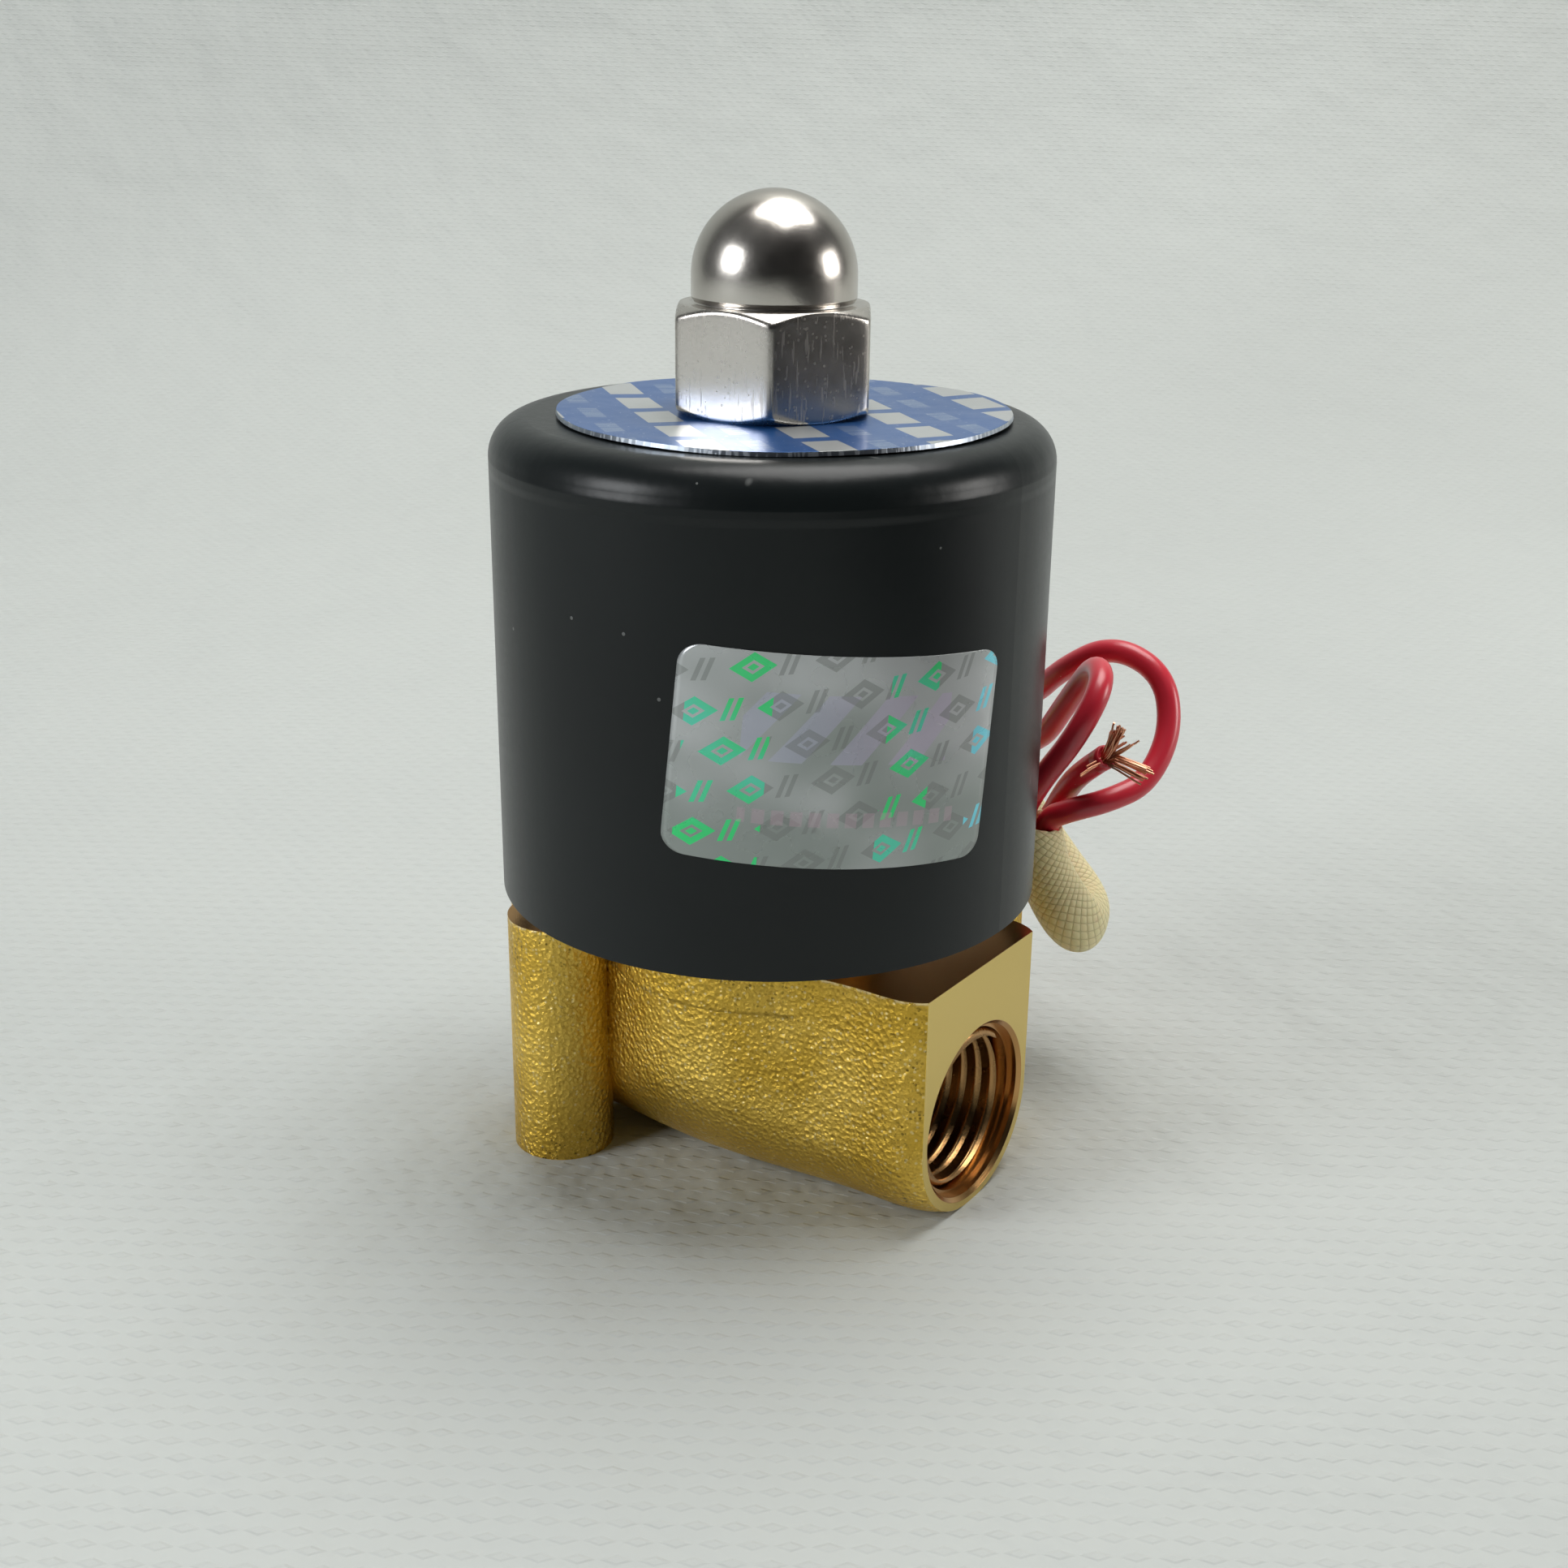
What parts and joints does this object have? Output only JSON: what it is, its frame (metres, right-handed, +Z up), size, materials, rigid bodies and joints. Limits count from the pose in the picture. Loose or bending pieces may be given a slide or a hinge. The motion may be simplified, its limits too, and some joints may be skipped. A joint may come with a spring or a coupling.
{
  "type": "solenoid valve",
  "caption": "Direct-acting solenoid valve: forged brass body with threaded ports, round encapsulated coil with domed nut, sleeved leads with stripped ends.",
  "frame": {"origin": "on the stem's axis, at the level of the feet's undersides", "axes": "+X along the flow towards the outlet port, +Y across the body towards the side the leads leave, +Z up the stem towards the domed nut"},
  "size_m": [0.0443, 0.0537, 0.0757],
  "materials": {
    "forged_brass": "blasted",
    "turned_brass": "turned",
    "stainless": "turned",
    "black_can": "satin paint",
    "zinc_plate": "zinc plated",
    "nickel_nut": "nickel plated",
    "copper": "bare wire",
    "nylon": "moulded",
    "winding_tape": "film",
    "black_resin": "cast",
    "seal_rubber": "moulded",
    "blue_plate": "printed",
    "hologram": "holographic foil",
    "glass_sleeve": "woven glass fibre",
    "red_silicone": "glossy"
  },
  "bodies": {
    "valve_base": {"valve_body": "forged_brass", "bonnet_collar": "turned_brass", "guide_tube": "stainless", "bonnet_seal": "seal_rubber", "fixed_core": "stainless", "shading_ring": "copper", "plunger_spring": "stainless"},
    "plunger_unit": {"plunger": "stainless", "plunger_seal": "seal_rubber"},
    "coil_unit": {"coil_can": "black_can", "coil_bottom_plate": "zinc_plate", "bobbin": "nylon", "copper_winding": "copper", "winding_tape": "winding_tape", "resin_fill": "black_resin", "lead_splices": "copper", "lead_grommet": "seal_rubber", "name_plate": "blue_plate", "hologram_sticker": "hologram", "lead_sleeve": "glass_sleeve", "lead_a": "red_silicone", "lead_b": "red_silicone", "lead_a_strands": "copper", "lead_b_strands": "copper"},
    "nut_ring": {"nut_seal_ring": "seal_rubber"},
    "nut": {"cap_nut": "nickel_nut"}
  },
  "joints": [
    {"name": "plunger_lift", "type": "slide", "parent": "valve_base", "child": "plunger_unit", "axis": [0, 0, 1], "range_m": [0, 0.002], "stiffness_N_per_m": 300, "springref_m": -0.004, "deforming": ["plunger_spring"]},
    {"name": "coil_swivel", "type": "hinge", "parent": "valve_base", "child": "coil_unit", "pos_m": [0, 0, 0.0415], "axis": [0, 0, 1], "continuous": true},
    {"name": "nut_rise", "type": "slide", "parent": "valve_base", "child": "nut_ring", "axis": [0, 0, 1], "range_m": [0, 0.00751]},
    {"name": "nut_turn", "type": "hinge", "parent": "nut_ring", "child": "nut", "pos_m": [0, 0, 0.066], "axis": [0, 0, 1], "range_deg": [0, 2160]}
  ],
  "couplings": [
    {"joint": "nut_rise", "follows": "nut_turn", "m_per_rad": 0.00019894}
  ]
}
